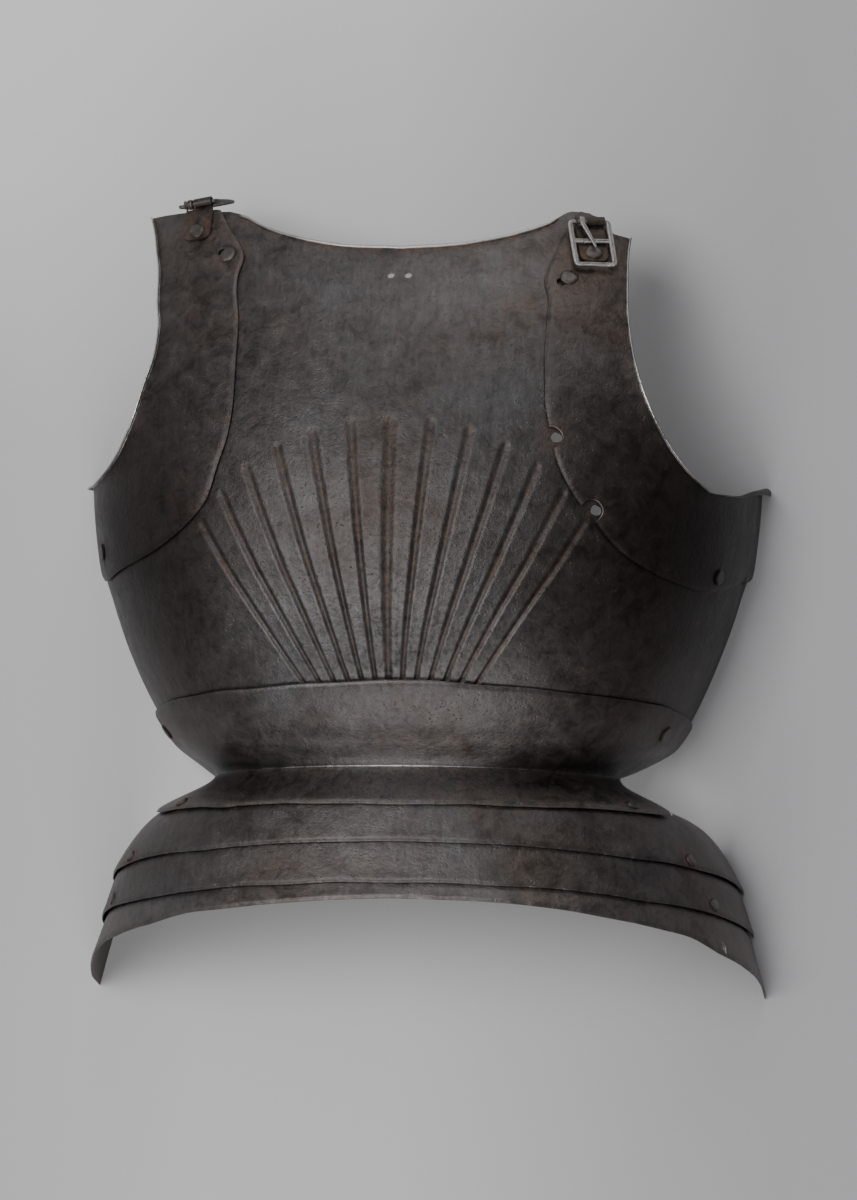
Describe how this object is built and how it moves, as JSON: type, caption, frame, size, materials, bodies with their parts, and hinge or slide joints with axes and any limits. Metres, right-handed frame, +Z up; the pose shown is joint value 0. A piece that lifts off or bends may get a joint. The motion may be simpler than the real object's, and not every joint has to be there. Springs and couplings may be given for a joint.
{
  "type": "breastplate",
  "caption": "Fluted steel breastplate with sliding arm gussets, flanged waist plate, three hinged fauld lames and shoulder strap buckles, lying on its open side.",
  "frame": {"origin": "middle of the plan outline, on the surface that the side edges lie on", "axes": "+Z up and out of the front, +Y towards the neck, +X to the right in the picture"},
  "size_m": [0.4111, 0.4732, 0.178],
  "materials": {
    "breast_steel": "dark patina with worn lands and rust in the flutes",
    "gusset_steel": "dark patina, satin",
    "waist_steel": "dark patina, worn bright on the crease",
    "lame_steel": "dark patina, satin",
    "strap_steel": "rusty worn steel",
    "buckle_steel": "worn steel",
    "rivet_steel": "worn domed heads"
  },
  "bodies": {
    "body": {"breastplate": "breast_steel", "waist_plate": "waist_steel", "strap_plate_left": "strap_steel", "strap_plate_right": "strap_steel", "strap_rivet_left": "rivet_steel", "strap_rivet_right": "rivet_steel", "gusset_rivet_upper_left": "rivet_steel", "gusset_rivet_lower_left": "rivet_steel", "gusset_rivet_upper_right": "rivet_steel", "gusset_rivet_lower_right": "rivet_steel", "waist_rivet_left": "rivet_steel", "waist_rivet_right": "rivet_steel", "fauld_rivet_1_left": "rivet_steel", "fauld_rivet_1_right": "rivet_steel"},
    "gusset_left": {"gusset_left": "gusset_steel"},
    "gusset_right": {"gusset_right": "gusset_steel"},
    "fauld_lame_1": {"fauld_lame_1": "lame_steel", "fauld_rivet_2_left": "rivet_steel", "fauld_rivet_2_right": "rivet_steel"},
    "fauld_lame_2": {"fauld_lame_2": "lame_steel", "fauld_rivet_3_left": "rivet_steel", "fauld_rivet_3_right": "rivet_steel"},
    "fauld_lame_3": {"fauld_lame_3": "lame_steel"},
    "buckle_left": {"buckle_left": "buckle_steel"},
    "buckle_right": {"buckle_right": "buckle_steel"},
    "tongue_left": {"tongue_left": "buckle_steel"},
    "tongue_right": {"tongue_right": "buckle_steel"}
  },
  "joints": [
    {"name": "gusset_left_swing", "type": "hinge", "parent": "body", "child": "gusset_left", "pos_m": [-0.18124, 0.02781, 0.08206], "axis": [-0.2698, 0.5032, 0.821], "range_deg": [-1, 0]},
    {"name": "gusset_right_swing", "type": "hinge", "parent": "body", "child": "gusset_right", "pos_m": [0.17881, 0.01303, 0.08214], "axis": [0.2515, 0.4881, 0.8357], "range_deg": [-1, 0]},
    {"name": "lame_1_swing", "type": "hinge", "parent": "body", "child": "fauld_lame_1", "pos_m": [0, -0.11713, 0.10089], "axis": [1, 0, 0], "range_deg": [-2, 1.5]},
    {"name": "lame_2_swing", "type": "hinge", "parent": "fauld_lame_1", "child": "fauld_lame_2", "pos_m": [0, -0.14941, 0.08977], "axis": [1, 0, 0], "range_deg": [-2.5, 1]},
    {"name": "lame_3_swing", "type": "hinge", "parent": "fauld_lame_2", "child": "fauld_lame_3", "pos_m": [0, -0.1753, 0.07917], "axis": [1, 0, 0], "range_deg": [-2.5, 2]},
    {"name": "buckle_left_hinge", "type": "hinge", "parent": "body", "child": "buckle_left", "pos_m": [-0.12455, 0.23161, 0.08134], "axis": [0.974, 0.1474, 0.1718], "range_deg": [0, 230]},
    {"name": "tongue_left_hinge", "type": "hinge", "parent": "buckle_left", "child": "tongue_left", "pos_m": [-0.12455, 0.23161, 0.08134], "axis": [0.974, 0.1474, 0.1718], "range_deg": [-2, 0]},
    {"name": "buckle_right_hinge", "type": "hinge", "parent": "body", "child": "buckle_right", "pos_m": [0.10618, 0.21641, 0.09862], "axis": [0.9408, 0.0038, -0.3388], "range_deg": [-185, 0]},
    {"name": "tongue_right_hinge", "type": "hinge", "parent": "buckle_right", "child": "tongue_right", "pos_m": [0.10618, 0.21641, 0.09862], "axis": [0.9408, 0.0038, -0.3388], "range_deg": [-175, 0]}
  ]
}
